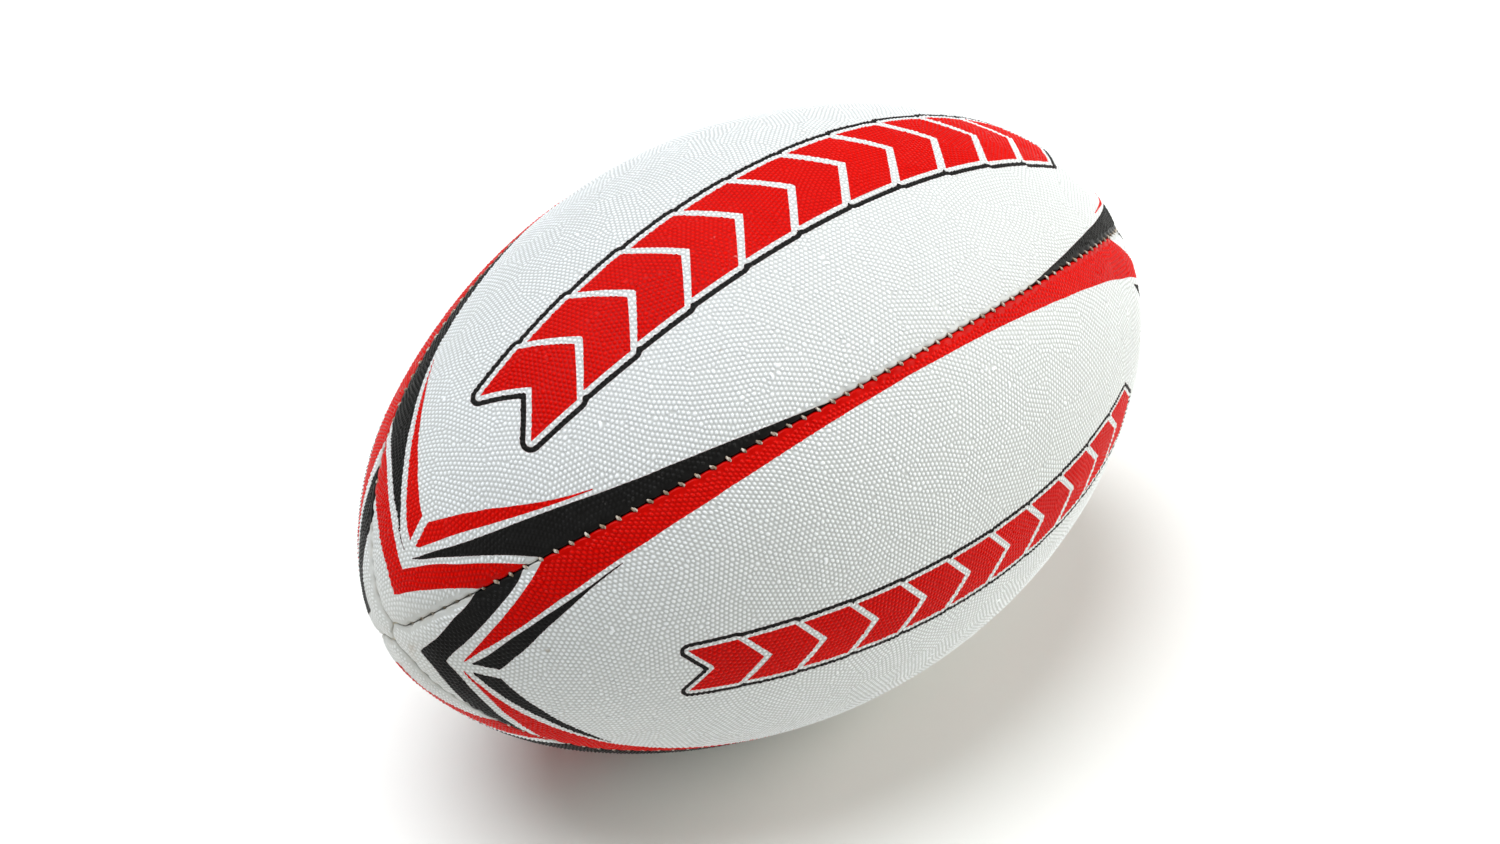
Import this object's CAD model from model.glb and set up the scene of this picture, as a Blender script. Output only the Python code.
"""A four-panel oval ball of pimpled rubber, with printed panels and stitched seams.

The ball lies along X, centred on the origin, with a tip at each end. The panels face
+Z (top), -Y (front), -Z (bottom) and +Y (back, with the valve in its middle).
Shapes are worked out in mm and scaled to metres when the meshes are made. On a panel,
s is the length along the surface from the -X tip, t the length across it from the
middle line, and theta the angle round X from the middle line.
"""
import math

import bmesh
import bpy
import numpy as np
from mathutils import Matrix, Vector
from mathutils.geometry import delaunay_2d_cdt
from mathutils.kdtree import KDTree


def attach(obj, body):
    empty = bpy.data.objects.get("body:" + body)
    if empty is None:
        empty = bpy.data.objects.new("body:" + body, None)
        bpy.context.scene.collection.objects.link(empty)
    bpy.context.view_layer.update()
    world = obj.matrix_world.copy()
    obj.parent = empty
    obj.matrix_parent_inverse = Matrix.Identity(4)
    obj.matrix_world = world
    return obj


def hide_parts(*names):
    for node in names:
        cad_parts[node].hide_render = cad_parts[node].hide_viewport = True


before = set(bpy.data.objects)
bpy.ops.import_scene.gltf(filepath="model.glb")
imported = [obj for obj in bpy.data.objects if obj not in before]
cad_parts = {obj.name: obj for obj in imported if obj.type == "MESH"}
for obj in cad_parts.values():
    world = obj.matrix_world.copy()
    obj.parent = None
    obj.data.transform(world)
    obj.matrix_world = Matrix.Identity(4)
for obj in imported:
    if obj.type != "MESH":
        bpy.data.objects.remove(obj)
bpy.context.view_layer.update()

MM = 0.001
PI = math.pi

# ---------------------------------------------------------------------------
# the ball's outline: three arcs from the equator to each tip, mm
# ---------------------------------------------------------------------------
MID_R = 95.0                             # ball radius at the equator
BELLY_R, SHOULDER_R = 195.4, 111.0       # arc radii
BELLY_END, SHOULDER_END = math.radians(33.2), math.radians(60.8)
TIP_R = SHOULDER_R - ((BELLY_R - MID_R) - (BELLY_R - SHOULDER_R) * math.cos(BELLY_END)
                      ) / math.cos(SHOULDER_END)


def heading(angle):
    return np.array([math.sin(angle), math.cos(angle)])


# arc centres as (x, radius)
BELLY_C = np.array([0.0, MID_R - BELLY_R])
SHOULDER_C = BELLY_C + (BELLY_R - SHOULDER_R) * heading(BELLY_END)
TIP_C = SHOULDER_C + (SHOULDER_R - TIP_R) * heading(SHOULDER_END)
BELLY_LEN = BELLY_R * BELLY_END
SHOULDER_LEN = SHOULDER_R * (SHOULDER_END - BELLY_END)
TIP_LEN = TIP_R * (PI / 2 - SHOULDER_END)
HALF = BELLY_LEN + SHOULDER_LEN + TIP_LEN    # tip to equator along the surface
FULL = 2 * HALF

STITCH_PITCH, STITCH_COUNT, FIRST_STITCH = 5.048, 72, 11.49
STITCHES = FIRST_STITCH + np.arange(STITCH_COUNT) * STITCH_PITCH
SKIN_T = 1.40
GAP = 0.08                               # half the gap of a seam
QUARTER = PI / 4                         # half of a panel's angle round the ball


def station(s):
    """x, radius and normal angle of the outline, s mm from the -X tip."""
    s = np.asarray(s, float)
    q = np.abs(s - HALF)
    side = np.where(s >= HALF, 1.0, -1.0)
    on_belly, on_shoulder = q <= BELLY_LEN, q <= BELLY_LEN + SHOULDER_LEN

    def pick(belly, shoulder, tip):
        return np.where(on_belly, belly, np.where(on_shoulder, shoulder, tip))

    angle = pick(q / BELLY_R, BELLY_END + (q - BELLY_LEN) / SHOULDER_R,
                 SHOULDER_END + (q - BELLY_LEN - SHOULDER_LEN) / TIP_R)
    centre_x = pick(BELLY_C[0], SHOULDER_C[0], TIP_C[0])
    centre_r = pick(BELLY_C[1], SHOULDER_C[1], TIP_C[1])
    arc_r = pick(BELLY_R, SHOULDER_R, TIP_R)
    return (side * (centre_x + arc_r * np.sin(angle)), centre_r + arc_r * np.cos(angle),
            side * angle)


def sunk(s, depth):
    """x and radius at a depth under the outline."""
    x, r, angle = station(s)
    return x - depth * np.sin(angle), r - depth * np.cos(angle)


def around(x, r, theta):
    return np.stack([x, r * np.cos(theta), r * np.sin(theta)], -1)


def place(s, theta, depth):
    return around(*sunk(s, depth), theta)


def turned(points, degrees):
    """Points turned about X."""
    a = math.radians(degrees)
    turn = np.array([[1, 0, 0], [0, math.cos(a), -math.sin(a)], [0, math.sin(a), math.cos(a)]])
    return points @ turn.T


def to_tip(s):
    return np.minimum(s, FULL - s)


def from_stitch(s):
    """Signed length to the nearest stitch."""
    nearest = np.clip(np.round((s - FIRST_STITCH) / STITCH_PITCH), 0, STITCH_COUNT - 1)
    return s - (FIRST_STITCH + nearest * STITCH_PITCH)


def smooth(start, end, x):
    t = np.clip((x - start) / (end - start), 0, 1)
    return t * t * (3 - 2 * t)


def bell(x, width):
    return np.exp(-(x / width) ** 2)


NOISE_TABLE = np.random.RandomState(7).rand(64, 64, 4)


def lattice_noise(x, y, channel):
    """Repeatable smooth noise from -1 to 1."""
    xi, yi = np.floor(x).astype(int), np.floor(y).astype(int)
    fx, fy = x - xi, y - yi
    fx, fy = fx * fx * (3 - 2 * fx), fy * fy * (3 - 2 * fy)

    def knot(i, j):
        return NOISE_TABLE[(xi + i) % 64, (yi + j) % 64, channel]

    near = knot(0, 0) * (1 - fx) + knot(1, 0) * fx
    far = knot(0, 1) * (1 - fx) + knot(1, 1) * fx
    return (near * (1 - fy) + far * fy) * 2 - 1


# ---------------------------------------------------------------------------
# the skin's surface. Two kinds of panel: "cap" (top, bottom), "flank" (front, back)
# ---------------------------------------------------------------------------
GRAIN_PITCH = 1.53
GRAIN_H = 0.34
EDGE_R = 0.75                            # rounding of a panel's edge
SEAM_STEP = STITCH_PITCH / 5.0           # spacing of points along a seam
FLANGE_DEPTH = 4.0
# rows from the sheet's edge, over the rounding, down the flange and back up inside:
# distance from the seam, depth, share of the surface's own depth that is added
EDGE_ROWS = [(1.60, 0.0, 1.0),
             (GAP + EDGE_R, 0.0, 1.0),
             (GAP + 0.5 * EDGE_R, 0.134 * EDGE_R, 1.0),
             (GAP + 0.134 * EDGE_R, 0.5 * EDGE_R, 1.0),
             (GAP, 1.1 * EDGE_R, 1.0),
             (GAP, 2.3, 0.4),
             (GAP, FLANGE_DEPTH, 0.0),
             (GAP + 1.0, FLANGE_DEPTH, 0.0),
             (GAP + 1.0, SKIN_T, 0.0)]
LEAST_R = 0.12                           # edge rows stay this far off the axis
INNER_COLS = 10                          # strips across the inner face
CAP_STOP = 3.4                           # the cap panels end this far short of the tips
CAP_TAPER = 6.0                          # and narrow over this length
VALVE_HOLE = 4.6                         # radius
VALVE_SIDES = 56
VALVE_SHEET_R = VALVE_HOLE + 0.9         # where the sheet stops round the hole
# the hole's rim: radius, depth
VALVE_RIM = [(VALVE_HOLE + 0.45, 0.12), (VALVE_HOLE + 0.12, 0.34), (VALVE_HOLE, 0.72),
             (VALVE_HOLE, SKIN_T)]


def reach(s, kind):
    """Half of a panel's angle round the ball. Near the tips the cap panels run
    out first and the flanks meet each other."""
    t = np.clip((to_tip(s) - CAP_STOP) / CAP_TAPER, 0.0, 1.0)
    cap = QUARTER * (1 - (1 - t) ** 2)
    return np.maximum(cap, 0.01) if kind == "cap" else PI / 2 - cap


def swing(distance, r, half_angle):
    """Angle from the seam for a distance, squeezed where the panel ends."""
    width = np.maximum(r, 0.05) * half_angle * 0.98
    return half_angle * 0.98 * np.tanh(distance / width)


def surface_depth(s, dist, grain):
    """How far the skin lies under the plain oval, dist mm from the seam."""
    tip = to_tip(s)
    # the grain fades out at the seams and towards the tips
    fade = smooth(0.8, 2.0, dist) * (0.25 + 0.75 * smooth(5.0, 26.0, tip))
    depth = GRAIN_H * (1 - grain) * fade
    depth = depth + 0.10 * (1 - fade)
    # the panels crown a little between their seams
    depth = depth + 0.50 * bell(dist, width=5.5) * smooth(4.0, 30.0, tip)
    # the skin is pulled in at each stitch
    depth = depth + 0.55 * bell(dist, width=1.5) * bell(from_stitch(s), width=0.90)
    # the seams sink towards the tips
    depth = depth + 0.75 * bell(dist, width=2.6) * bell(tip, width=34.0)
    # uneven dents where the four ends are gathered
    dents = 1 + lattice_noise(s / 4.3 + 9.1, dist / 3.1 + 3.3, channel=2)
    return depth + bell(tip, width=13.0) * 0.35 * dents * smooth(0.6, 3.0, tip)


# ---------------------------------------------------------------------------
# the grain's bumps and the hollows between them, over the flat chart (s, t)
# ---------------------------------------------------------------------------
CHART_MARGIN = 8.0                       # beyond both tips
CHART_SIDE = 80.0
PATCH_STEP = 13.0                        # spacing of patches with rows of their own angle
EVENING_STEPS = 12
# steps at which crowded bumps are removed instead: least spacing, in pitches
CULL_AT = {0: 0.60, 3: 0.74}


def join_flat(points):
    """Delaunay mesh over flat points: points, edges, triangles."""
    out = delaunay_2d_cdt([Vector(q) for q in points], [], [], 0, 1e-7, False)
    return np.array([tuple(v) for v in out[0]]), np.array([tuple(e) for e in out[1]]), out[2]


def grain_spots():
    """Small patches of close rows at wandering angles, evened out along their
    borders."""
    rng = np.random.RandomState(23)
    start, stop = -CHART_MARGIN, FULL + CHART_MARGIN
    grid_s, grid_t = np.meshgrid(np.arange(start, stop, PATCH_STEP),
                                 np.arange(-CHART_SIDE, CHART_SIDE + PATCH_STEP, PATCH_STEP),
                                 indexing="ij")
    seeds = (np.stack([grid_s.ravel(), grid_t.ravel()], -1)
             + (rng.rand(grid_s.size, 2) - 0.5) * PATCH_STEP * 0.9)
    turns = PI / 2.6 * lattice_noise(seeds[:, 0] / 36.0 + 5.2, seeds[:, 1] / 36.0 + 9.7, channel=3)
    row = GRAIN_PITCH * math.sqrt(3) / 2
    count = int(PATCH_STEP * 1.6 / GRAIN_PITCH) + 1
    i, j = np.meshgrid(np.arange(-count, count + 1), np.arange(-count, count + 1), indexing="ij")
    tile = np.stack([(i * row).ravel(), ((j + 0.5 * np.mod(i, 2)) * GRAIN_PITCH).ravel()], -1)
    pts = []
    for centre, w in zip(seeds, turns):
        turn = np.array([[math.cos(w), -math.sin(w)], [math.sin(w), math.cos(w)]])
        pts.append(centre + tile @ turn.T + (rng.rand(1, 2) - 0.5) * GRAIN_PITCH)
    pts = np.vstack(pts)
    owner = np.repeat(np.arange(len(seeds)), len(tile))
    nearest = np.concatenate([((q[:, None] - seeds[None]) ** 2).sum(-1).argmin(1)
                              for q in np.array_split(pts, 80)])
    pts = pts[(nearest == owner) & (pts[:, 0] > start) & (pts[:, 0] < stop)]
    _, r, _ = station(np.clip(pts[:, 0], 1.0, FULL - 1.0))
    pts = pts[np.abs(pts[:, 1]) < r * QUARTER + 5.0]

    for step in range(EVENING_STEPS):
        pts, edges, _ = join_flat(pts)
        apart = pts[edges[:, 1]] - pts[edges[:, 0]]
        length = np.linalg.norm(apart, axis=1)
        if step in CULL_AT:
            crowded = edges[length < GRAIN_PITCH * CULL_AT[step]].max(1)
            pts = np.delete(pts, np.unique(crowded), axis=0)
            continue
        # neighbours push apart harder than they pull together
        push = np.where(length < 1.45 * GRAIN_PITCH, (GRAIN_PITCH * 1.02 - length), 0.0)
        push = np.where(push > 0, 0.30 * push, 0.10 * push)
        push = apart / np.maximum(length, 1e-6)[:, None] * push[:, None]
        move = np.zeros_like(pts)
        for axis in (0, 1):
            move[:, axis] = (np.bincount(edges[:, 1], push[:, axis], len(pts))
                             - np.bincount(edges[:, 0], push[:, axis], len(pts)))
        pts = pts + np.clip(move, -0.5, 0.5)

    pts, _, faces = join_flat(pts)
    tris = np.array([f for f in faces if len(f) == 3])
    hollows = pts[tris].mean(1)
    span = np.linalg.norm(pts[tris] - hollows[:, None], axis=2)
    fits = (span.max(1) < 1.6 * GRAIN_PITCH) & (span.min(1) > 0.36 * GRAIN_PITCH)
    return pts, hollows[fits]


SPOTS, HOLLOWS = grain_spots()
SPOT_H = 0.82 + 0.36 * np.random.RandomState(5).rand(len(SPOTS))
SPOT_TREE = KDTree(len(SPOTS))
for index, spot in enumerate(SPOTS):
    SPOT_TREE.insert((spot[0], spot[1], 0.0), index)
SPOT_TREE.balance()


# ---------------------------------------------------------------------------
# the print: swept stripes along the seams, a chevron round each tip and a row of
# small chevrons between. Points are (s in mm, angle from the middle line in degrees);
# NEG and POS name the sides of negative and positive angle.
# ---------------------------------------------------------------------------
def curve(points, n=4):
    """Catmull-Rom through the points, n steps to a span."""
    p = np.array(points, float)
    ext = np.vstack([2 * p[0] - p[1], p, 2 * p[-1] - p[-2]])
    out = []
    for i in range(1, len(ext) - 2):
        p0, p1, p2, p3 = ext[i - 1:i + 3]
        for k in range(n):
            t = k / n
            out.append(0.5 * ((2 * p1) + (-p0 + p2) * t
                              + (2 * p0 - 5 * p1 + 4 * p2 - p3) * t * t
                              + (-p0 + 3 * p1 - 3 * p2 + p3) * t ** 3))
    out.append(ext[-2])
    return [tuple(q) for q in out]


def swept(*runs):
    """Closed outline from runs of points; runs of one or two points are corners."""
    return [p for run in runs for p in (curve(run) if len(run) > 2 else run)]


CAP_CHEVRON = swept(
    [(46.25, -49), (43.75, -45), (41.25, -42), (39.5, -40), (35, -35), (30.75, -30), (27, -25),
     (24.5, -20), (22.25, -15), (20, -10), (18, -5), (16.5, 0), (15.5, 4.1)],
    [(15.5, 4.1), (16.75, 10), (18.75, 15), (21, 20), (24, 25), (27, 30), (31.5, 35),
     (36.5, 40), (42.25, 45), (47.5, 49)],
    [(64, 49), (58.25, 45), (51.25, 40), (45, 35), (39.5, 30), (35.75, 25), (32.25, 20),
     (29, 15), (26.5, 10), (24, 4.1)],
    [(24, 4.1), (25, 0), (26.75, -5), (29.25, -10), (32, -15), (35.5, -20), (39.5, -25),
     (44.5, -30), (50.25, -35), (55, -40), (57.5, -42), (60.75, -45), (65, -49)])
CAP_FLARE_NEG = swept(
    [(29.5, -1.2), (30.75, -5), (33.25, -10), (37.25, -15), (40.25, -20), (44.75, -25),
     (50, -30), (55.25, -35), (61.25, -40), (67.5, -45), (72.5, -49)],
    [(170, -49), (160, -45.3)],
    [(152.5, -44), (145, -42.8), (137.5, -41.6), (125, -39.7), (112.5, -38.2), (100, -36.9),
     (87.5, -35.2), (81.25, -33.7), (75, -31.8), (68.75, -29.6), (62.5, -27.3), (57.5, -25.4),
     (50, -21.6), (43.75, -18), (40, -15.1), (37.5, -13.2), (34.75, -10.8), (32, -7.7),
     (29.5, -1.2)])
CAP_FLARE_POS = swept(
    [(29.25, 7.8), (31.25, 13), (33.5, 17), (36, 20.5), (38.5, 24), (41.25, 27.2),
     (43.75, 29.7), (46.5, 32.2), (50, 35.1), (53.75, 38), (57.5, 40.8), (60.75, 43.2),
     (63.25, 45), (68.75, 49)],
    [(172.5, 49), (162.5, 45.3)],
    [(155, 44.7), (150, 44.3), (143.75, 43.8), (137.5, 43.3), (131.25, 42.8), (125, 42.2),
     (118.75, 41.6), (112.5, 41), (106.25, 40.3), (100, 39.7), (93.75, 38.8), (87.5, 37.8),
     (81.25, 36.6), (75, 35.2), (70, 34), (62.5, 32), (56.25, 30), (51.25, 28), (46.25, 25.5),
     (41.25, 22.1), (37.5, 18.6), (33.5, 14.2), (31.25, 11.5), (29.25, 7.8)])
CAP_STRIPE_NEG = swept(
    [(33.25, 0.2), (35, -3.5), (36.75, -6.5), (39.5, -9.5), (42.5, -12.3), (46.25, -15),
     (50, -17.5), (53.75, -19.8), (57.5, -21.8), (62.5, -24.1), (67.5, -26.3), (72.5, -28.5),
     (77.5, -30.4), (81.25, -31.8), (85.5, -33.4)],
    [(85.5, -33.4), (82, -31.9), (78.75, -30.5), (75, -28.5), (71.25, -26.5), (67.5, -24.5),
     (63.75, -22.2), (60, -19.9), (56.25, -17), (53.75, -14.6), (50, -11.5), (47.5, -8.7),
     (45, -5.7), (43, -2.9), (41.25, 0.5)])
CAP_STRIPE_POS = swept(
    [(33, 5.8), (33.5, 8), (35, 10), (37.5, 13), (40, 15.5), (43.75, 18.6), (47.5, 21.5),
     (51.25, 24), (55, 26.2), (60, 28.6), (65, 30.6), (70, 32.3), (75, 33.7), (80, 34.8),
     (85, 35.8)],
    [(85, 35.8), (80, 34.5), (76.25, 33.3), (72.5, 31.8), (68.75, 30), (64.5, 27.5),
     (60.75, 25), (57.5, 22.3), (53.75, 19.5), (50.75, 16.6), (47.5, 13.6), (45, 10.8),
     (42.75, 8), (40.75, 5.4)])
FLANK_CHEVRON = swept(
    [(44, -49), (39.5, -45), (36.75, -42.5), (33.75, -40), (30.25, -37.5), (27.75, -35),
     (24, -30), (21, -25), (18, -20), (16, -15), (14.25, -10), (13.25, -5), (13.25, -2.5)],
    [(13.25, -2.5), (14, 0), (15.5, 5), (17.25, 10), (19, 15), (20.75, 20), (23, 25),
     (25.25, 30), (28, 35), (31, 40), (35, 45), (39, 49)],
    [(58, 49), (53, 45), (47.5, 40), (42, 35), (37.75, 30), (34.25, 25), (31.25, 20),
     (28.75, 15), (26.75, 10), (24.75, 5), (22.75, 0), (21.75, -3)],
    [(21.75, -3), (22.5, -6), (23.75, -10), (26, -15), (29.25, -20), (33, -25), (37.75, -30),
     (43.5, -35), (50.5, -40), (53.75, -42.5), (56.25, -45), (61.5, -49)])
FLANK_FLARE_NEG = swept(
    [(28, -6.4), (29.25, -9.8), (30.75, -12.8), (32.5, -16), (35, -20), (38, -24),
     (40.75, -27), (43.75, -29.8), (46.75, -32.5), (50, -35.1), (53, -37.4), (57, -40.2),
     (60, -42.5), (63, -45), (68, -49)],
    [(190, -49)],
    [(190, -42.6), (175, -42.4), (162.5, -42.2), (150, -41.8), (137.5, -41.2), (125, -40.4),
     (118.75, -40), (112.5, -39.4), (106.25, -38.9), (100, -38.3), (93.75, -37.5),
     (87.5, -36.7), (81.25, -35.8), (75, -34.6), (68.75, -33), (62.5, -31.3), (58.75, -30),
     (53.75, -27.9), (50, -26.1), (45, -23.4), (41.25, -20.9), (37.5, -18.1), (33.75, -14.8),
     (30.5, -10.5), (28, -6.4)])
FLANK_FLARE_POS = swept(
    [(27.5, 2.4), (28.75, 6), (30, 9), (31.75, 12.5), (33.75, 16.1), (36.25, 20.2),
     (38.75, 24.1), (41.25, 27.5), (44.25, 30.9), (47.5, 34.1), (50.75, 37.1), (54.5, 40.2),
     (57.5, 42.7), (60.25, 45), (65.5, 49)],
    [(190, 49)],
    [(190, 42.6), (175, 42.5), (162.5, 42.2), (150, 41.8), (137.5, 41.4), (125, 40.7),
     (112.5, 40), (106.25, 39.4), (100, 38.8), (93.75, 37.8), (87.5, 36.6), (81.25, 35.4),
     (75, 34), (68.75, 32.1), (62.5, 30.2), (56.25, 28.2), (50, 25.6), (45, 23), (40.75, 20),
     (37.5, 17.1), (35, 14.2), (31.25, 9.5), (29.5, 6.5), (27.5, 2.4)])
FLANK_STRIPE_NEG = swept(
    [(30.5, -5.6), (32.5, -8.2), (35, -11), (38, -14.4), (40.5, -17), (43.75, -19.9),
     (47.5, -22.4), (51.25, -24.4), (55, -26.3), (58.75, -27.8), (62.5, -29.1),
     (66.25, -30.3), (70, -31.4), (75, -32.8), (78.75, -33.8), (82.75, -34.6)],
    [(82.75, -34.6), (79.5, -33.8), (76.25, -32.9), (72.5, -31.7), (68.75, -30.1),
     (65, -28.3), (61.25, -26.3), (57, -23.8), (53.25, -21), (50, -17.9), (46.75, -14.5),
     (43.75, -11.4), (41.25, -7.9), (38.75, -4.4)])
FLANK_STRIPE_POS = swept(
    [(30.5, 1.5), (31.25, 3.5), (33, 6), (35, 9), (37.5, 12), (40, 14.6), (43.75, 17.6),
     (47.5, 20.1), (51.25, 22.2), (55, 24.2), (58.75, 26.2), (62.5, 28), (66.25, 29.6),
     (70, 31), (76, 33.1)],
    [(76, 33.1), (71.25, 30.5), (67.5, 28.3), (62.5, 25.4), (57.5, 22.4), (53.75, 19.5),
     (50.75, 16.8), (47.5, 14), (43.75, 9.7), (41.25, 6), (38.75, 1.8)])
# the +X half repeats the -X half, but for these shapes
FLANK_STRIPE_NEG_FAR = swept(
    [(30.5, -5.6), (32.5, -8.2), (35, -11), (38, -14.4), (41.25, -17.4), (45.5, -20.3),
     (50, -22.8), (53.5, -24.7), (57, -26.6)],
    [(57, -26.6), (54.5, -24), (52, -21.4), (49.5, -18.8), (46.75, -15), (43.75, -11.4),
     (41.25, -7.9), (38.75, -4.4)])
FLANK_STRIPE_POS_FAR = [(s, -3.4 - angle) for s, angle in FLANK_STRIPE_NEG_FAR]
FLANK_CHEVRON_FAR = [(s - 8.5, angle) for s, angle in FLANK_CHEVRON]


def drawn_out(shape, start=72.5, span=12.5, add_s=7.5, add_angle=0.9):
    """The shape with its end beyond `start` stretched."""
    out = []
    for s, angle in shape:
        over = max(0.0, (s - start) / span)
        out.append((s + add_s * over, angle + add_angle * over))
    return out


CAP_STRIPE_POS_FAR = drawn_out(CAP_STRIPE_POS)


def chevrons(start, pitch, width, nose, middle, end_half, waist_half, count=11):
    """A row of plain chevrons, a little taller at both ends of the row."""
    out = []
    for i in range(count):
        k = abs(2 * (i + 0.5) / count - 1) ** 1.6
        half = waist_half + (end_half - waist_half) * k
        a = start + i * pitch
        out.append([(a, middle - half), (a + width, middle - half), (a + width + nose, middle),
                    (a + width, middle + half), (a, middle + half), (a + nose, middle)])
    return out


# mirror: where the near half's shapes turn back for the far half; stretch: from here
# on they are rescaled to end at PRINT_END; gap, line: the black line round the row
# of small chevrons
PRINT_END = 384.5
PRINTS = {
    "cap": dict(
        near_red=[CAP_CHEVRON, CAP_STRIPE_NEG, CAP_STRIPE_POS],
        near_black=[CAP_FLARE_NEG, CAP_FLARE_POS],
        far_red=[CAP_CHEVRON, CAP_STRIPE_NEG, CAP_STRIPE_POS_FAR],
        far_black=[CAP_FLARE_NEG, CAP_FLARE_POS],
        bars=chevrons(start=79.5, pitch=20.75, width=17.125, nose=11.0,
                      middle=5.3, end_half=11.2, waist_half=8.4),
        mirror=200.0, stretch=325.0, gap=2.0, line=1.35),
    "flank": dict(
        near_red=[FLANK_FLARE_NEG, FLANK_FLARE_POS],
        near_black=[FLANK_STRIPE_NEG, FLANK_STRIPE_POS, FLANK_CHEVRON],
        far_red=[FLANK_FLARE_NEG, FLANK_FLARE_POS],
        far_black=[FLANK_STRIPE_NEG_FAR, FLANK_STRIPE_POS_FAR, FLANK_CHEVRON_FAR],
        bars=chevrons(start=94.0, pitch=17.5, width=14.5, nose=7.5,
                      middle=-0.3, end_half=6.6, waist_half=5.6),
        mirror=185.0, stretch=300.0, gap=1.55, line=0.95),
}


def fold(s, design):
    """Where to look up s in the -X half's shapes."""
    back, start = 2 * design["mirror"], design["stretch"]
    return np.where(s <= design["mirror"], s, np.where(
        s <= start, back - s, (PRINT_END - s) * (back - start) / (PRINT_END - start)))


def unfold(s, design):
    """The +X half's place for s in its shapes."""
    back, start = 2 * design["mirror"], design["stretch"]
    return np.where(s >= back - start, back - s,
                    PRINT_END - s * (PRINT_END - start) / (back - start))


def inside_polygon(points, poly):
    """Even-odd test of points against a closed polygon."""
    hit = np.zeros(len(points), bool)
    for a, b in zip(poly, np.roll(poly, -1, axis=0)):
        span = (a[1] > points[:, 1]) != (b[1] > points[:, 1])
        rise = b[1] - a[1] if b[1] != a[1] else 1e-12
        hit ^= span & (points[:, 0] < a[0] + (b[0] - a[0]) * (points[:, 1] - a[1]) / rise)
    return hit


def polygon_distance(s, angle, mm_per_degree, shape, margin_s=10.0, margin_angle=6.0):
    """Distance in mm to a polygon, positive inside; -99 well away from it."""
    poly = np.array(shape, float)
    out = np.full(len(s), -99.0)
    near = ((s > poly[:, 0].min() - margin_s) & (s < poly[:, 0].max() + margin_s)
            & (angle > poly[:, 1].min() - margin_angle)
            & (angle < poly[:, 1].max() + margin_angle))
    close = np.nonzero(near)[0]
    for part in np.array_split(close, len(close) // 20000 + 1):
        ps, pa, k = s[part][:, None], angle[part][:, None], mm_per_degree[part][:, None]
        a, b = poly, np.roll(poly, -1, 0)
        ax, ay = a[:, 0] - ps, (a[:, 1] - pa) * k
        bx, by = b[:, 0] - ps, (b[:, 1] - pa) * k
        dx, dy = bx - ax, by - ay
        t = np.clip(-(ax * dx + ay * dy) / np.maximum(dx * dx + dy * dy, 1e-12), 0, 1)
        d = np.sqrt(((ax + t * dx) ** 2 + (ay + t * dy) ** 2).min(1))
        out[part] = np.where(inside_polygon(np.hstack([ps, pa]), poly), d, -d)
    return out


def print_fields(kind, s, theta):
    """Signed distances, mm, to the red ink, the black ink and the chevron row."""
    design = PRINTS[kind]
    angle = np.degrees(theta)
    mm_per_degree = np.maximum(station(s)[1], 0.5) * PI / 180.0

    def union(at, shapes):
        return np.max([polygon_distance(at, angle, mm_per_degree, p) for p in shapes], axis=0)

    folded = fold(s, design)
    red, black = (np.where(s > design["mirror"], union(folded, design["far_" + ink]),
                           union(folded, design["near_" + ink])) for ink in ("red", "black"))
    band = union(s, design["bars"])
    return np.maximum(red, band), black, band


def edge_samples(shape):
    """Points along a shape's edge, closer where a stripe runs out thin."""
    poly = np.array(shape, float)
    thin = len(poly) > 20 and np.ptp(poly[:, 1]) < 42
    spacing = 0.34 if thin else 0.7
    out = []
    for (s0, a0), (s1, a1) in zip(poly, np.roll(poly, -1, 0)):
        r = float(max(0.5, station(min(max((s0 + s1) / 2, 1), FULL - 1))[1]))
        length = math.hypot(s1 - s0, (a1 - a0) * PI / 180.0 * r)
        n = max(1, int(length / spacing))
        f = np.arange(n) / n
        out.append((s0 + (s1 - s0) * f, a0 + (a1 - a0) * f))
    return np.hstack(out)


def outline_points(kind):
    """Points (s, t) along all of a print's edges."""
    design = PRINTS[kind]
    runs = []
    for half in ("near", "far"):
        for shape in design[half + "_red"] + design[half + "_black"]:
            s, angle = edge_samples(shape)
            keep = s <= design["mirror"] + 0.25
            s, angle = s[keep], angle[keep]
            runs.append((unfold(s, design) if half == "far" else s, angle))
    runs += [edge_samples(bar) for bar in design["bars"]]
    s, angle = np.hstack(runs)
    out = np.stack([s, station(s)[1] * np.radians(angle)], -1)
    # thin out points that fall on top of each other
    _, first = np.unique(np.round(out / 0.22).astype(int), axis=0, return_index=True)
    return out[np.sort(first)]


# ---------------------------------------------------------------------------
# one panel: a fine sheet of raised grain, a rounded turned-in edge, a flange
# ---------------------------------------------------------------------------
class Cloud:
    """Growing table of points: x, y, z, s, theta, distance from the seam, grain."""

    def __init__(self):
        self.parts = []
        self.count = 0

    def add(self, points, s, theta, dist, grain=0.0):
        n = len(s)
        extra = [np.broadcast_to(v, n) for v in (s, theta, dist, grain)]
        self.parts.append(np.column_stack([points, *extra]))
        self.count += n
        return np.arange(self.count - n, self.count)

    def table(self):
        return np.concatenate(self.parts)


def quads(row, other, closed=False):
    if closed:
        row, other = np.append(row, row[0]), np.append(other, other[0])
    return np.stack([row[:-1], row[1:], other[1:], other[:-1]], -1)


def halves(quad):
    return [quad[:, [0, 1, 2]], quad[:, [0, 2, 3]]]


def triangulate(points, edges):
    """Triangles inside the given edges, as indices into points."""
    out = delaunay_2d_cdt(points, edges, [], 1, 1e-7, True)
    source = [o[0] for o in out[3]]
    return np.array([[source[i] for i in f] for f in out[2] if len(f) == 3])


def loop_edges(ids):
    return [(ids[i], ids[(i + 1) % len(ids)]) for i in range(len(ids))]


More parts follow.
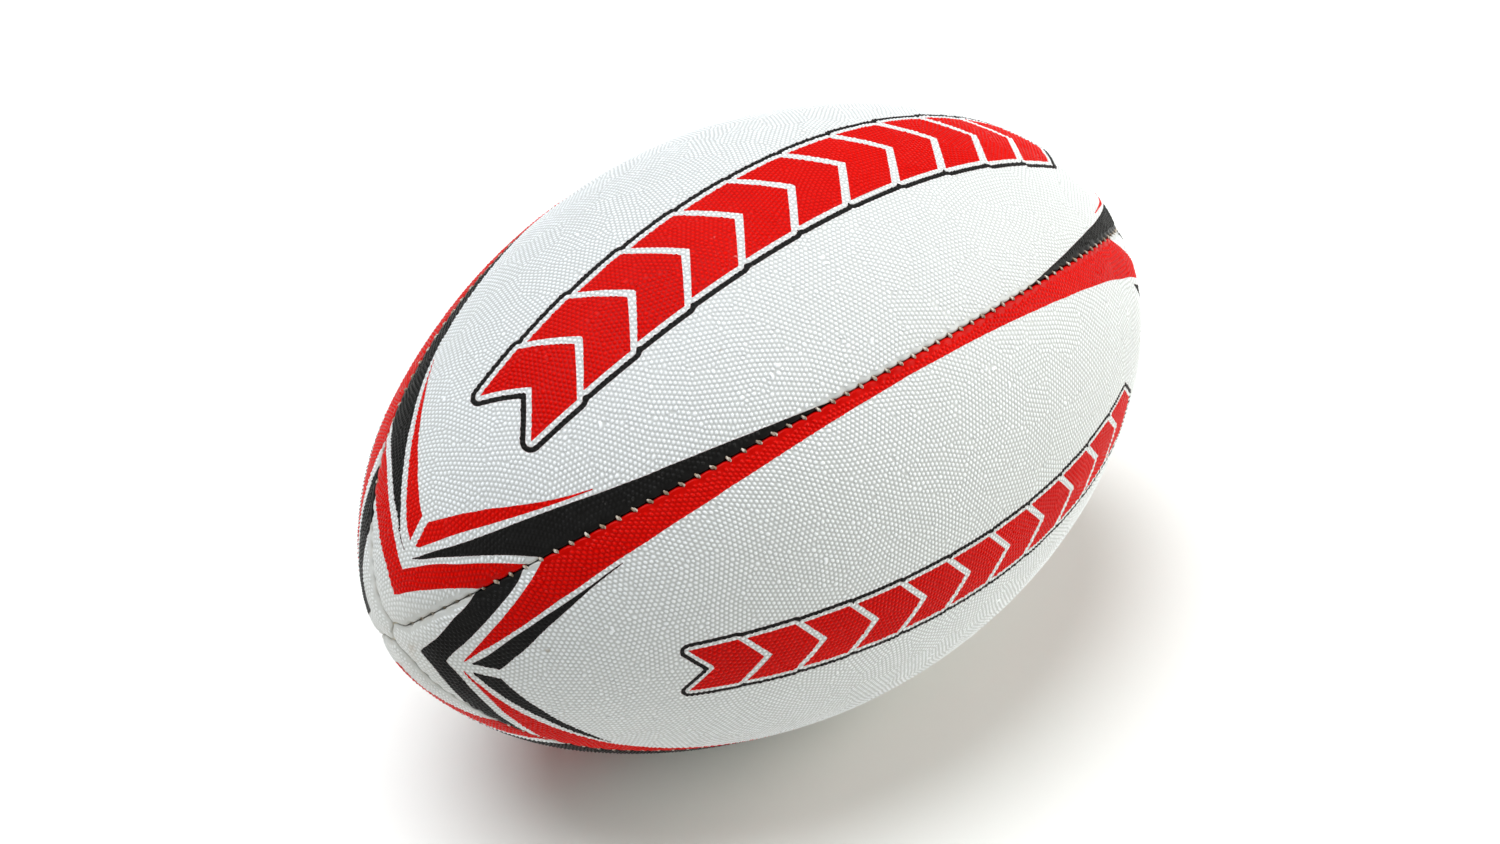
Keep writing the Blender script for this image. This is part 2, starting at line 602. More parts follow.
def sheet_points(kind, s_start, s_stop, with_valve):
    """s, t and grain height of the points inside the sheet. The print's edges
    get points of their own."""
    outline = outline_points(kind)
    outline_h = []
    for s, t in outline:
        _, i, away = SPOT_TREE.find((s, t, 0.0))
        outline_h.append(max(0.0, 1.0 - away / (GRAIN_PITCH * 0.56)) * SPOT_H[i])
    s, t = np.vstack([SPOTS, HOLLOWS, outline]).T
    grain = np.concatenate([SPOT_H, np.zeros(len(HOLLOWS)), outline_h])
    _, r, _ = station(s)
    half = reach(s, kind)
    edge = r * (half - swing(EDGE_ROWS[0][0], r, half))
    keep = (s > s_start + 0.3) & (s < s_stop - 0.3) & (np.abs(t) < edge - 0.30)
    if with_valve:
        keep &= np.hypot(s - HALF, t) > VALVE_HOLE + 1.35
    return s[keep], t[keep], grain[keep]


def fill_valve_gap(table, removed, rim):
    """Faces from the opening in the inner face to the valve hole's rim."""
    uses = {}
    for quad in removed:
        for i in range(4):
            edge = tuple(sorted((int(quad[i]), int(quad[(i + 1) % 4]))))
            uses[edge] = uses.get(edge, 0) + 1
    border = sorted({v for edge, n in uses.items() if n == 1 for v in edge})
    s, across = table[:, 3], table[:, 4] * MID_R
    border.sort(key=lambda v: math.atan2(across[v], s[v] - HALF))
    ids = border + list(rim)
    points = [Vector((s[v], across[v])) for v in ids]
    n = len(border)
    tris = triangulate(points, loop_edges(range(n)) + loop_edges(range(n, len(ids))))
    tris = tris[~(tris >= n).all(1)]
    flat = np.array([[v.x, v.y] for v in points])
    keep = (tris >= n).any(1) | inside_polygon(flat[tris].mean(1), flat[:n])
    return np.array(ids)[tris[keep]]


def build_panel(kind, with_valve):
    """Faces and the point table of a panel whose middle line faces +Y."""
    s_start = CAP_STOP + 0.4 if kind == "cap" else 0.7
    s_stop = FULL - s_start
    s, t, g = sheet_points(kind, s_start, s_stop, with_valve)

    # the sheet's borders along the seams
    n = int(round((s_stop - s_start) / SEAM_STEP))
    seam_s = np.linspace(s_start, s_stop, n + 1)
    _, seam_r, _ = station(seam_s)
    half = reach(seam_s, kind)
    border_t = seam_r * (half - swing(EDGE_ROWS[0][0], seam_r, half))
    flat = [Vector(p) for p in zip(s, t)]
    n_in, n_border = len(flat), n + 1
    flat += [Vector(p) for p in zip(seam_s, -border_t)]
    flat += [Vector(p) for p in zip(seam_s, border_t)]
    neg_border = list(range(n_in, n_in + n_border))
    pos_border = list(range(n_in + n_border, n_in + 2 * n_border))
    edges = loop_edges(neg_border + pos_border[::-1])
    valve_angles = 2 * PI * np.arange(VALVE_SIDES) / VALVE_SIDES
    hole = []
    if with_valve:
        hole = list(range(len(flat), len(flat) + VALVE_SIDES))
        for a in valve_angles:
            flat.append(Vector((HALF + VALVE_SHEET_R * math.cos(a), VALVE_SHEET_R * math.sin(a))))
        edges += loop_edges(hole)
    tris = triangulate(flat, edges)
    s, t = np.array([[v.x, v.y] for v in flat]).T
    # where the border runs hollow the triangulation also fills the outside: drop that
    on_border = ((tris >= n_in) & (tris < n_in + 2 * n_border)).all(1)
    centre_s, centre_t = s[tris].mean(1), t[tris].mean(1)
    tris = tris[~(on_border & (np.abs(centre_t) > np.interp(centre_s, seam_s, border_t)))]
    if with_valve:
        tris = tris[~(tris >= hole[0]).all(1)]

    grain = np.zeros(len(flat))
    grain[:n_in] = g
    _, r, _ = station(s)
    theta = t / r
    dist = np.where(to_tip(s) > 12.0, r * (QUARTER - np.abs(theta)),
                    r * np.sin(np.minimum(reach(s, kind) - np.abs(theta), PI / 2)))
    depth = surface_depth(s, dist, grain)
    if with_valve:
        near_valve = bell(np.hypot(s - HALF, t) - VALVE_HOLE, width=1.6)
        depth = depth * (1 - near_valve) + 0.10 * near_valve
    cloud = Cloud()
    cloud.add(place(s, theta, depth), s, theta, dist, grain)
    faces = [tris]

    # rounded edges and flanges, drawn back at each stitch
    pull = bell(from_stitch(seam_s), width=1.0)
    sides = {}
    for sign, border in ((-1, neg_border), (1, pos_border)):
        rows = [np.array(border)]
        for d, row_depth, share in EDGE_ROWS[1:]:
            near = bell(d - GAP, width=0.9) * (row_depth < 1.5)
            own = surface_depth(seam_s, np.full_like(seam_s, d), 0.0)
            x, r = sunk(seam_s, row_depth + share * own)
            r = np.maximum(r, LEAST_R)
            th = sign * (half - swing(d + 0.36 * pull * near, r, half))
            rows.append(cloud.add(around(x, r, th), seam_s, th, d))
        sides[sign] = rows
        for row, other in zip(rows[:-1], rows[1:]):
            faces += halves(quads(row, other))

    # inner face across the panel
    x, r = sunk(seam_s, SKIN_T)
    r = np.maximum(r, LEAST_R)
    edge_theta = half - swing(EDGE_ROWS[-1][0], r, half)
    cols = [sides[-1][-1]]
    for c in range(1, INNER_COLS):
        th = -edge_theta + 2 * edge_theta * c / INNER_COLS
        cols.append(cloud.add(around(x, r, th), seam_s, th, -20.0))
    cols.append(sides[1][-1])
    table = cloud.table()
    removed = []
    for col, other in zip(cols[:-1], cols[1:]):
        q = quads(col, other)
        if with_valve:
            along = table[q, 3].mean(1) - HALF
            across = table[q, 4].mean(1) * MID_R
            hit = (np.abs(along) < 6.5) & (np.abs(across) < 15.5)
            removed.append(q[hit])
            q = q[~hit]
        faces += halves(q)

    # small caps where the panel runs out at each tip
    for k in (0, -1):
        ring = np.array([row[k] for row in sides[-1]] + [col[k] for col in cols[1:-1]]
                        + [row[k] for row in sides[1][::-1]])
        hub = cloud.add(table[ring, :3].mean(0)[None], seam_s[[k]], 0.0, 0.0)
        faces.append(np.stack([ring, np.roll(ring, -1), np.full(len(ring), hub[0])], -1))

    if with_valve:
        # rim of the valve's hole, down to the inner face
        rings = [np.array(hole)]
        for radius, rim_depth in VALVE_RIM:
            s = HALF + radius * np.cos(valve_angles)
            th = radius * np.sin(valve_angles) / MID_R
            rings.append(cloud.add(place(s, th, rim_depth), s, th, 50.0))
        for ring, other in zip(rings[:-1], rings[1:]):
            faces += halves(quads(ring, other, closed=True))
        faces.append(fill_valve_gap(cloud.table(), np.concatenate(removed), rings[-1]))

    F = np.concatenate(faces)
    bad = (F[:, 0] == F[:, 1]) | (F[:, 1] == F[:, 2]) | (F[:, 0] == F[:, 2])
    table = cloud.table()
    return outward(table[:, :3], F[~bad]), table


def outward(points, faces):
    """Faces wound consistently and outward."""
    me = bpy.data.meshes.new("tmp")
    me.from_pydata((points * MM).tolist(), [], faces.tolist())
    bm = bmesh.new()
    bm.from_mesh(me)
    bmesh.ops.recalc_face_normals(bm, faces=bm.faces)
    if bm.calc_volume(signed=True) < 0:
        bmesh.ops.reverse_faces(bm, faces=bm.faces)
    out = np.array([[v.index for v in f.verts] for f in bm.faces], np.int32)
    bm.free()
    bpy.data.meshes.remove(me)
    return out


# ---------------------------------------------------------------------------
# materials
# ---------------------------------------------------------------------------
class Nodes:
    """Small helper to wire up one node material."""

    def __init__(self, name):
        self.material = bpy.data.materials.new(name)
        self.material.use_nodes = True
        self.tree = self.material.node_tree
        self.bsdf = self.tree.nodes["Principled BSDF"]
        self.coord = self.new("ShaderNodeTexCoord").outputs["Object"]

    def new(self, kind, **props):
        n = self.tree.nodes.new(kind)
        for name, value in props.items():
            setattr(n, name, value)
        return n

    def put(self, socket, value):
        """Link a socket, or set a number or a colour."""
        if hasattr(value, "is_linked"):
            self.tree.links.new(value, socket)
        elif isinstance(value, tuple):
            socket.default_value = (*value, 1.0)
        else:
            socket.default_value = value

    def attr(self, name):
        return self.new("ShaderNodeAttribute", attribute_name=name).outputs["Fac"]

    def math(self, op, a, b=0.0, c=0.0):
        n = self.new("ShaderNodeMath", operation=op)
        for socket, value in zip(n.inputs, (a, b, c)):
            self.put(socket, value)
        return n.outputs[0]

    def times(self, a, b):
        return self.math("MULTIPLY", a, b)

    def ramp(self, value, start, end, low=0.0, high=1.0):
        """Smooth step from low to high as value goes from start to end."""
        n = self.new("ShaderNodeMapRange", interpolation_type="SMOOTHSTEP")
        for socket, v in zip(n.inputs[:5], (value, start, end, low, high)):
            self.put(socket, v)
        return n.outputs[0]

    def mix(self, factor, a, b):
        n = self.new("ShaderNodeMix", data_type="RGBA")
        self.put(n.inputs[0], factor)
        self.put(n.inputs[6], a)
        self.put(n.inputs[7], b)
        return n.outputs[2]

    def tint(self, base, colour, mask, amount):
        return self.mix(self.times(mask, amount), base, colour)

    def noise(self, scale, detail=2.0, rough=0.5):
        n = self.new("ShaderNodeTexNoise")
        n.inputs["Scale"].default_value = scale
        n.inputs["Detail"].default_value = detail
        n.inputs["Roughness"].default_value = rough
        self.put(n.inputs["Vector"], self.coord)
        return n.outputs["Fac"]

    def cells(self, scale):
        n = self.new("ShaderNodeTexVoronoi", feature="F1")
        n.inputs["Scale"].default_value = scale
        self.put(n.inputs["Vector"], self.coord)
        return n.outputs["Distance"]

    def bump(self, height, strength, distance, normal=None):
        n = self.new("ShaderNodeBump")
        self.put(n.inputs["Height"], height)
        n.inputs["Strength"].default_value = strength
        n.inputs["Distance"].default_value = distance
        if normal is not None:
            self.put(n.inputs["Normal"], normal)
        return n.outputs[0]

    def finish(self, colour, rough, spec, normal=None):
        self.put(self.bsdf.inputs["Base Color"], colour)
        self.put(self.bsdf.inputs["Roughness"], rough)
        self.put(self.bsdf.inputs["Specular IOR Level"], spec)
        if normal is not None:
            self.put(self.bsdf.inputs["Normal"], normal)
        return self.material


# white rubber, and what is laid over it
WHITE, WHITE_CLOUD = (0.925, 0.948, 0.958), (0.895, 0.915, 0.915)
WHITE_LOW, WHITE_TIP = (0.500, 0.508, 0.490), (0.56, 0.555, 0.505)
STAIN, SEAM_DIRT, SPECK = (0.42, 0.34, 0.24), (0.40, 0.36, 0.30), (0.33, 0.27, 0.19)
# the inks
RED, RED_LOW, RED_THIN = (0.740, 0.0036, 0.0010), (0.38, 0.0010, 0.0005), (0.84, 0.0110, 0.0055)
BLACK, BLACK_CLOUD = (0.0105, 0.0100, 0.0094), (0.0150, 0.0145, 0.0140)
BLACK_TOP, WORN = (0.0190, 0.0185, 0.0180), (0.55, 0.52, 0.48)
INK_SOFT = 0.07                          # half width of an ink edge's blur, mm


def printed_rubber():
    k = Nodes("printed_pimpled_rubber")
    grain, seam, tip = k.attr("grain"), k.attr("seam_d"), k.attr("tip_d")
    dome = k.ramp(grain, start=0.02, end=1.0)

    def between_bumps():
        return k.ramp(grain, start=0.72, end=0.10)

    # ink edges wander a little and creep out over the bumps
    wobble = k.math("SUBTRACT", k.noise(scale=900.0), 0.5)
    rag = k.math("MULTIPLY_ADD", wobble, 0.16, k.math("MULTIPLY_ADD", grain, 0.14, 0.13))

    def ink_cover(distance):
        return k.ramp(k.math("ADD", distance, rag), start=-INK_SOFT, end=INK_SOFT)

    from_line = k.math("ABSOLUTE", k.math("ADD", k.attr("band_d"), k.attr("line_mid")))
    line = k.math("SUBTRACT", k.attr("line_half"), from_line)
    red_cover = ink_cover(k.attr("ink_red"))
    black_cover = ink_cover(k.math("MAXIMUM", k.attr("ink_black"), line))
    cloud = k.noise(scale=22.0, detail=4.0, rough=0.6)

    # white rubber: greyer between the bumps and near the tips, with dirt
    white = k.mix(k.ramp(cloud, start=0.3, end=0.75), WHITE, WHITE_CLOUD)
    white = k.tint(white, WHITE_LOW, between_bumps(), amount=0.88)
    white = k.mix(k.ramp(tip, start=52.0, end=6.0, high=0.42), white, WHITE_TIP)
    stain = k.times(k.ramp(k.noise(scale=160.0, detail=4.0, rough=0.65), start=0.53, end=0.74),
                    k.ramp(tip, start=24.0, end=2.0))
    white = k.tint(white, STAIN, stain, amount=0.50)
    dirt = k.times(k.ramp(seam, start=1.5, end=0.3),
                   k.ramp(k.noise(scale=260.0, detail=3.0), start=0.42, end=0.62))
    white = k.tint(white, SEAM_DIRT, dirt, amount=0.35)
    speck = k.times(k.ramp(k.cells(scale=75.0), start=0.075, end=0.03),
                    k.ramp(k.noise(scale=31.0), start=0.56, end=0.62))
    white = k.tint(white, SPECK, speck, amount=0.55)

    # red ink is deeper between the bumps; both inks are worn on some tops
    red = k.tint(RED, RED_LOW, between_bumps(), amount=0.70)
    red = k.tint(red, RED_THIN, k.ramp(cloud, start=0.35, end=0.8), amount=0.30)
    patchy = k.ramp(k.noise(scale=300.0, detail=3.0), start=0.4, end=0.7)
    black = k.tint(BLACK, BLACK_CLOUD, patchy, amount=0.6)
    black = k.tint(black, BLACK_TOP, dome, amount=0.35)
    worn = k.times(k.times(k.ramp(k.noise(scale=420.0), start=0.66, end=0.74), dome), 0.5)
    ink = k.mix(black_cover, red, black)
    ink = k.tint(ink, WORN, worn, amount=k.ramp(cloud, start=0.55, end=0.7))

    # ink is a touch smoother than rubber and shines less
    cover = k.math("MAXIMUM", red_cover, black_cover)
    rough = k.ramp(k.noise(scale=120.0, detail=3.0), start=0.3, end=0.7, low=0.28, high=0.38)
    rough = k.math("ADD", rough, k.times(cover, -0.02))
    relief = k.times(k.times(dome, k.ramp(seam, start=0.9, end=2.0)),
                     k.ramp(tip, start=4.0, end=24.0, low=0.2))
    normal = k.bump(relief, strength=1.0, distance=0.00026)
    normal = k.bump(k.noise(scale=2600.0), strength=0.15, distance=0.00005, normal=normal)
    return k.finish(k.mix(cover, white, ink), rough, normal=normal,
                    spec=k.math("MULTIPLY_ADD", cover, -0.25, 0.30))


THREAD_DARK, THREAD_PALE = (0.30, 0.225, 0.150), (0.70, 0.64, 0.56)
THREAD_GROOVE, THREAD_DIRT = (0.17, 0.115, 0.070), (0.16, 0.115, 0.075)


def waxed_thread():
    k = Nodes("waxed_stitch_thread")
    strands = k.math("SINE", k.times(k.attr("twist"), 2 * PI))
    colour = k.mix(k.ramp(k.noise(scale=520.0), start=0.36, end=0.62), THREAD_DARK, THREAD_PALE)
    colour = k.mix(k.ramp(strands, start=0.2, end=-1.0, high=0.6), colour, THREAD_GROOVE)
    dirt = k.ramp(k.noise(scale=210.0, detail=3.0), start=0.52, end=0.7)
    colour = k.tint(colour, THREAD_DIRT, dirt, amount=0.6)
    rough = k.ramp(k.noise(scale=500.0), start=0.3, end=0.7, low=0.5, high=0.7)
    return k.finish(colour, rough, spec=0.35,
                    normal=k.bump(strands, strength=0.7, distance=0.00010))


def woven(name, warp, weft, shade, scale=1350.0):
    """A plain weave of two yarns, running along X and round it."""
    k = Nodes(name)
    split = k.new("ShaderNodeSeparateXYZ")
    k.put(split.inputs[0], k.coord)
    along = k.times(split.outputs[0], scale)
    around_x = k.times(k.math("ARCTAN2", split.outputs[1], split.outputs[2]), scale * 0.075)
    over = k.times(k.math("SINE", along), k.math("SINE", around_x))
    cloud = k.noise(scale=60.0, detail=4.0)
    colour = k.mix(k.ramp(over, start=-0.4, end=0.4), warp, weft)
    gaps = k.ramp(k.math("ABSOLUTE", over), start=0.22, end=0.0, high=0.65)
    colour = k.mix(gaps, colour, shade)
    colour = k.tint(colour, shade, k.ramp(cloud, start=0.35, end=0.75), amount=0.4)
    return k.finish(colour, k.ramp(cloud, start=0.3, end=0.7, low=0.72, high=0.9), spec=0.2,
                    normal=k.bump(k.math("ABSOLUTE", over), strength=0.6, distance=0.0002))


def moulded(name, base, alt, rough, scale=90.0, grit=1400.0):
    """Moulded or sheet rubber with clouding, dust and a fine matt skin."""
    k = Nodes(name)
    cloud = k.noise(scale=scale, detail=4.0, rough=0.6)
    colour = k.mix(k.ramp(cloud, start=0.3, end=0.75), base, alt)
    dust = k.ramp(k.noise(scale=grit * 0.35, detail=3.0, rough=0.7), start=0.60, end=0.78)
    dusty = tuple(min(1.0, 0.35 + 0.6 * c) for c in base)
    colour = k.tint(colour, dusty, dust, amount=0.25)
    normal = k.bump(k.noise(scale=grit), strength=0.25, distance=0.00008)
    normal = k.bump(k.noise(scale=scale * 3.0), strength=0.12, distance=0.0004, normal=normal)
    return k.finish(colour, k.ramp(cloud, start=0.25, end=0.75, low=rough[0], high=rough[1]),
                    spec=0.4, normal=normal)


RUBBER = printed_rubber()
THREAD = waxed_thread()
PLIES = {
    "outer_ply": woven("outer_ply_canvas", warp=(0.66, 0.60, 0.47), weft=(0.72, 0.67, 0.55),
                       shade=(0.42, 0.37, 0.27)),
    "middle_ply": woven("middle_ply_canvas", warp=(0.60, 0.56, 0.46), weft=(0.68, 0.65, 0.56),
                        shade=(0.38, 0.35, 0.28), scale=1500.0),
    "inner_ply": woven("inner_ply_canvas", warp=(0.70, 0.68, 0.62), weft=(0.76, 0.74, 0.69),
                       shade=(0.46, 0.44, 0.39), scale=1250.0),
}
FITTINGS = {
    "cover_valve_patch": woven("valve_patch_canvas", warp=(0.50, 0.47, 0.40),
                               weft=(0.58, 0.55, 0.48), shade=(0.30, 0.28, 0.23), scale=1150.0),
    "bladder": moulded("bladder_sheet_rubber", base=(0.030, 0.030, 0.034),
                       alt=(0.050, 0.050, 0.054), rough=(0.45, 0.62)),
    "bladder_valve_patch": moulded("bladder_patch_rubber", base=(0.055, 0.052, 0.050),
                                   alt=(0.080, 0.076, 0.072), rough=(0.5, 0.66), scale=140.0),
    "valve_housing": moulded("valve_housing_rubber", base=(0.66, 0.665, 0.65),
                             alt=(0.58, 0.58, 0.555), rough=(0.38, 0.52), scale=420.0,
                             grit=2600.0),
    "valve_core": moulded("valve_core_rubber", base=(0.028, 0.028, 0.029),
                          alt=(0.045, 0.044, 0.043), rough=(0.34, 0.48), scale=520.0,
                          grit=2600.0),
}


def paint(node, material):
    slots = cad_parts[node].data.materials
    slots.clear()
    slots.append(material)


for panel in ("top", "front", "bottom", "back"):
    for ply, material in PLIES.items():
        paint(panel + "_" + ply, material)
for fitting, material in FITTINGS.items():
    paint(fitting, material)


# ---------------------------------------------------------------------------
# panel objects
# ---------------------------------------------------------------------------
def add_attr(me, name, values):
    layer = me.attributes.new(name, "FLOAT", "POINT")
    layer.data.foreach_set("value", np.asarray(values, np.float32))


def make_mesh(name, points, faces, material):
    me = bpy.data.meshes.new(name)
    me.vertices.add(len(points))
    me.vertices.foreach_set("co", (points * MM).astype(np.float32).ravel())
    faces = np.asarray(faces, np.int32)
    me.loops.add(faces.size)
    me.loops.foreach_set("vertex_index", faces.ravel())
    me.polygons.add(len(faces))
    me.polygons.foreach_set("loop_start", np.arange(0, faces.size, 3, dtype=np.int32))
    me.polygons.foreach_set("loop_total", np.full(len(faces), 3, np.int32))
    me.update(calc_edges=True)
    me.validate()
    me.polygons.foreach_set("use_smooth", np.ones(len(me.polygons), bool))
    me.materials.append(material)
    ob = bpy.data.objects.new(name, me)
    bpy.context.scene.collection.objects.link(ob)
    return ob


def add_uv(me, s, theta, dist):
    """The outer sheet and edge strips laid out flat; the inner face sits beside them."""
    layer = me.uv_layers.new(name="OFBake")
    vertex = np.zeros(len(me.loops), np.int32)
    me.loops.foreach_get("vertex_index", vertex)
    across = station(s)[1] * theta / (2 * MID_R * QUARTER) + 0.5
    uv = np.stack([s / FULL * 0.98 + 0.01, across * 0.40 + 0.02], -1)[vertex]
    inner = (dist[vertex] < -10.0).reshape(-1, 3).any(1).repeat(3)
    uv[inner, 1] += 0.5
    layer.data.foreach_set("uv", uv.astype(np.float32).ravel())


CLEAR_R = VALVE_HOLE + 5.0               # no print this close to the valve
SHEETS = {"cap": build_panel("cap", with_valve=False),
          "flank": build_panel("flank", with_valve=False),
          "valve": build_panel("flank", with_valve=True)}
# panel, turn about X from +Y, kind, sheet
PANELS = [("top", 90.0, "cap", "cap"), ("front", 180.0, "flank", "flank"),
          ("bottom", 270.0, "cap", "cap"), ("back", 0.0, "flank", "valve")]
for panel, turn, kind, sheet in PANELS:
    faces, table = SHEETS[sheet]
    s, theta, dist, grain = table[:, 3:].T
    red, black, band = print_fields(kind, s, theta)
    if sheet == "valve":
        beyond = np.hypot(s - HALF, theta * MID_R) - CLEAR_R
        red = np.minimum(red, beyond)
        black = np.minimum(black, beyond)
        band = np.where(beyond < 0, 30.0, band)
    ob = make_mesh(panel + "_panel", turned(table[:, :3], turn), faces, RUBBER)
    half_line = PRINTS[kind]["line"] / 2
    for name, values in (("ink_red", red), ("ink_black", black), ("band_d", band),
                         ("line_mid", np.full(len(s), PRINTS[kind]["gap"] + half_line)),
                         ("line_half", np.full(len(s), half_line)),
                         ("grain", grain), ("seam_d", np.abs(dist)), ("tip_d", to_tip(s))):
        add_attr(ob.data, name, values)
    add_uv(ob.data, s, theta, dist)
    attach(ob, "ball")
    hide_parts(panel + "_rubber_skin")


# ---------------------------------------------------------------------------
# seam threads: a run along each side inside, and a slanted stitch over the
# groove at every pair of holes
# ---------------------------------------------------------------------------
RUN_OFFSET = GAP + 2.69 + 0.30           # of the inside runs from the seam
RUN_DEPTH = 3.2


def tube(path, radius, sides, turns_per_mm, up):
    """Two-strand twisted tube round a path in mm: points, faces, twist values."""
    n = len(path)
    along = np.gradient(path, axis=0)
    along /= np.linalg.norm(along, axis=1, keepdims=True)
    across = np.cross(along, up)
    across /= np.linalg.norm(across, axis=1, keepdims=True)
    rise = np.cross(across, along)
    radius = np.broadcast_to(radius, (n,))
    angle = 2 * PI * np.arange(sides) / sides
    length = np.concatenate([[0], np.cumsum(np.linalg.norm(np.diff(path, axis=0), axis=1))])
    bulge = 1 + 0.17 * np.cos(2 * (angle[None] + length[:, None] * turns_per_mm * 2 * PI))
    points = (path[:, None] + radius[:, None, None] * bulge[..., None]
              * (np.cos(angle)[None, :, None] * across[:, None]
                 + np.sin(angle)[None, :, None] * rise[:, None]))
    twist = 2 * (angle[None] / (2 * PI) + length[:, None] * turns_per_mm)
    points = np.vstack([points.reshape(-1, 3), path[:1], path[-1:]])
    twist = np.append(twist.reshape(-1), [0, 0])
    faces = []
    for i in range(n - 1):
        for j in range(sides):
            a, b = i * sides + j, i * sides + (j + 1) % sides
            faces += [(a, b, b + sides), (a, b + sides, a + sides)]
    first_hub, last = n * sides, (n - 1) * sides
    for j in range(sides):
        faces.append((first_hub, (j + 1) % sides, j))
        faces.append((first_hub + 1, last + j, last + (j + 1) % sides))
    return points, np.array(faces, np.int32), twist


def thread_run(sign):
    s = np.linspace(STITCHES[0] - 0.8, STITCHES[-1] + 0.8, 420)
    path = place(s, np.zeros_like(s), RUN_DEPTH)
    path[:, 2] += sign * RUN_OFFSET
    return tube(path, radius=0.33, sides=8, turns_per_mm=0.55, up=np.array([0, 0, 1.0]))


def stitch(s0, rng):
    j = rng.rand(6)                          # only the first four vary the stitch
    lean = 0.90 + 0.80 * (j[0] - 0.5)        # travel along the seam
    span = 0.95 + 0.20 * (j[1] - 0.5)        # half width over the groove
    top = 0.26 + 0.26 * j[2]                 # depth of its middle, more near the tips
    tip = min(s0, FULL - s0)
    top += 1.25 * float(smooth(46.0, 38.0, tip)) + 0.34 * float(smooth(84.0, 50.0, tip))
    shoulder = max(0.98, top + 0.3)
    # along the seam, across it, depth
    key = [(-0.15, -RUN_OFFSET, RUN_DEPTH),
           (-0.35, -1.9, 2.9),
           (-0.5 * lean - 0.15, -1.25, 1.9),
           (-0.62 * lean, -span, shoulder),
           (-0.36 * lean, -0.5 * span, top + 0.16),
           (0.0, 0.0, top),
           (0.36 * lean, 0.5 * span, top + 0.16),
           (0.62 * lean, span, shoulder),
           (0.5 * lean + 0.15, 1.25, 1.9),
           (0.35, 1.9, 2.9),
           (0.15, RUN_OFFSET, RUN_DEPTH)]
    along, across, depth = np.array(curve(key)).T
    s = s0 + along
    path = place(s, np.zeros_like(s), depth + 0.50)
    path[:, 2] += across
    _, _, a = station(s)
    up = np.stack([np.sin(a), np.cos(a), np.zeros_like(a)], -1)
    # thicker over the groove
    radius = 0.28 + 0.19 * bell(across, width=0.9) + 0.08 * (j[3] - 0.5)
    return tube(path, radius=radius, sides=10, turns_per_mm=0.42, up=up)


def seam_thread_mesh():
    """Thread of one seam, lying at theta 0."""
    rng = np.random.RandomState(31)
    parts = [thread_run(-1), thread_run(1)] + [stitch(s0, rng) for s0 in STITCHES]
    points, faces, twists = zip(*parts)
    starts = np.cumsum([0] + [len(p) for p in points[:-1]])
    return (np.vstack(points), np.vstack([f + start for f, start in zip(faces, starts)]),
            np.concatenate(twists))


thread_points, thread_faces, thread_twist = seam_thread_mesh()
for seam, turn in (("top_back", 45.0), ("top_front", 135.0), ("bottom_front", 225.0),
                   ("bottom_back", 315.0)):
    ob = make_mesh(seam + "_stitching", turned(thread_points, turn), thread_faces, THREAD)
    add_attr(ob.data, "twist", thread_twist)
    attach(ob, "ball")
    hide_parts(seam + "_seam_thread")


# ---------------------------------------------------------------------------
# stage, light, camera
# ---------------------------------------------------------------------------
FLOOR_HALF = 6.0                         # m
FLOOR_TINTS = (0.915, 0.905, 0.865), (0.925, 0.918, 0.885)
scene = bpy.context.scene
scene.view_settings.view_transform = "Standard"
scene.view_settings.look = "None"


def make_floor():
    me = bpy.data.meshes.new("floor")
    corners = [(x * FLOOR_HALF, y * FLOOR_HALF, 0) for x, y in ((-1, -1), (1, -1), (1, 1), (-1, 1))]
    me.from_pydata(corners, [], [(0, 1, 2, 3)])
    floor = bpy.data.objects.new("floor", me)
    scene.collection.objects.link(floor)
    floor.location = (0, 0, -MID_R * MM - 0.0001)
    k = Nodes("pale_floor")
    colour = k.mix(k.noise(scale=3.0), *FLOOR_TINTS)
    me.materials.append(k.finish(colour, rough=0.9, spec=0.05))


SKY_COLOUR = (0.95, 0.98, 1.0, 1.0)
SKY_BRIGHT_WAY = (0.72, 0.52, 0.46)      # the sky brightens this way
SKY_RANGE = (-0.9, 0.9, 0.02, 0.40)      # from min, max along it; to min, max strength
BACKDROP_STRENGTH = 0.90


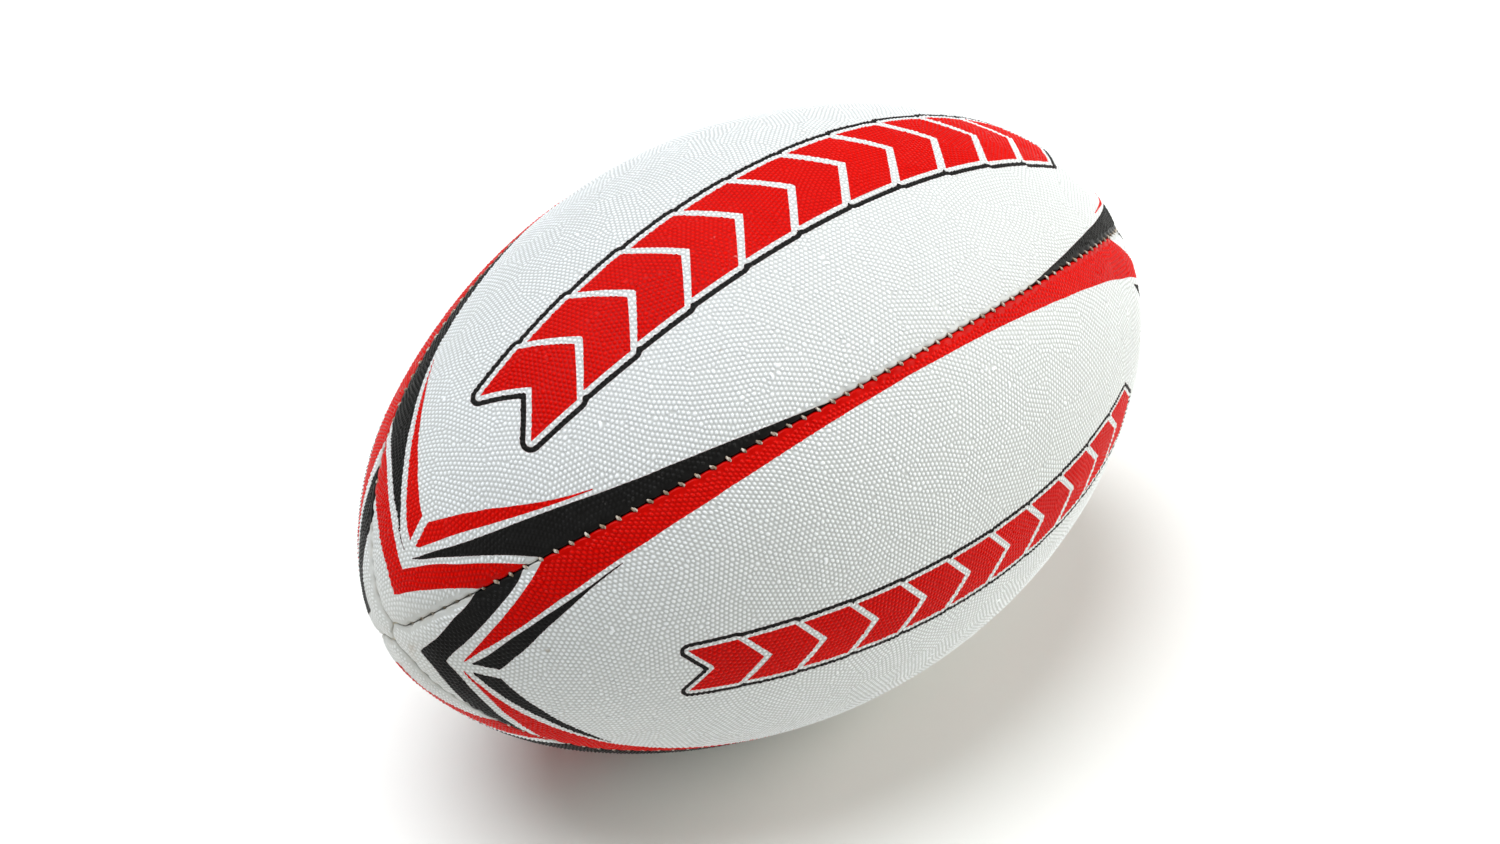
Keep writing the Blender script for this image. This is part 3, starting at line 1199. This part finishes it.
def make_world():
    """Lighting with a gradient; the camera itself sees an even pale backdrop."""
    world = bpy.data.worlds.new("studio")
    scene.world = world
    world.use_nodes = True
    tree = world.node_tree
    background = tree.nodes["Background"]
    background.inputs["Color"].default_value = SKY_COLOUR
    coord = tree.nodes.new("ShaderNodeTexCoord")
    dot = tree.nodes.new("ShaderNodeVectorMath")
    dot.operation = "DOT_PRODUCT"
    dot.inputs[1].default_value = SKY_BRIGHT_WAY
    tree.links.new(coord.outputs["Generated"], dot.inputs[0])
    gradient = tree.nodes.new("ShaderNodeMapRange")
    for socket, value in zip(list(gradient.inputs)[1:5], SKY_RANGE):
        socket.default_value = value
    tree.links.new(dot.outputs["Value"], gradient.inputs[0])
    light_path = tree.nodes.new("ShaderNodeLightPath")
    seen = tree.nodes.new("ShaderNodeMix")
    tree.links.new(light_path.outputs["Is Camera Ray"], seen.inputs[0])
    tree.links.new(gradient.outputs[0], seen.inputs[2])
    seen.inputs[3].default_value = BACKDROP_STRENGTH
    tree.links.new(seen.outputs[0], background.inputs["Strength"])


def sun(name, azimuth, elevation, strength, spread, colour):
    """Sun light; angles in degrees."""
    data = bpy.data.lights.new(name, "SUN")
    data.energy = strength
    data.angle = math.radians(spread)
    data.color = colour
    ob = bpy.data.objects.new(name, data)
    scene.collection.objects.link(ob)
    az, el = math.radians(azimuth), math.radians(elevation)
    way = Vector((math.cos(el) * math.cos(az), math.cos(el) * math.sin(az), math.sin(el)))
    ob.rotation_euler = way.to_track_quat("Z", "Y").to_euler()
    ob.location = way * 2.0


CAMERA_PLACE = (-0.4209914, -0.4646125, 0.5159324)
CAMERA_RIGHT = Vector((0.7476533, -0.6640893, 0.0))
CAMERA_UP = Vector((0.4227319, 0.4759253, 0.7712282))
CAMERA_VIEW = Vector((0.5121644, 0.5766113, -0.6365588))


def make_camera():
    data = bpy.data.cameras.new("camera")
    cam = bpy.data.objects.new("camera", data)
    scene.collection.objects.link(cam)
    turn = Matrix((CAMERA_RIGHT, CAMERA_UP, -CAMERA_VIEW)).transposed()
    cam.matrix_world = Matrix.Translation(CAMERA_PLACE) @ turn.to_4x4()
    data.sensor_width = 36.0
    data.lens = 60.2595
    data.clip_start = 0.01
    scene.camera = cam


make_floor()
make_world()
sun("key", azimuth=118.0, elevation=74.0, strength=3.14, spread=46.0, colour=(0.930, 0.960, 1.0))
sun("fill", azimuth=330.0, elevation=22.0, strength=2.24, spread=44.0, colour=(1.0, 1.0, 0.935))
make_camera()
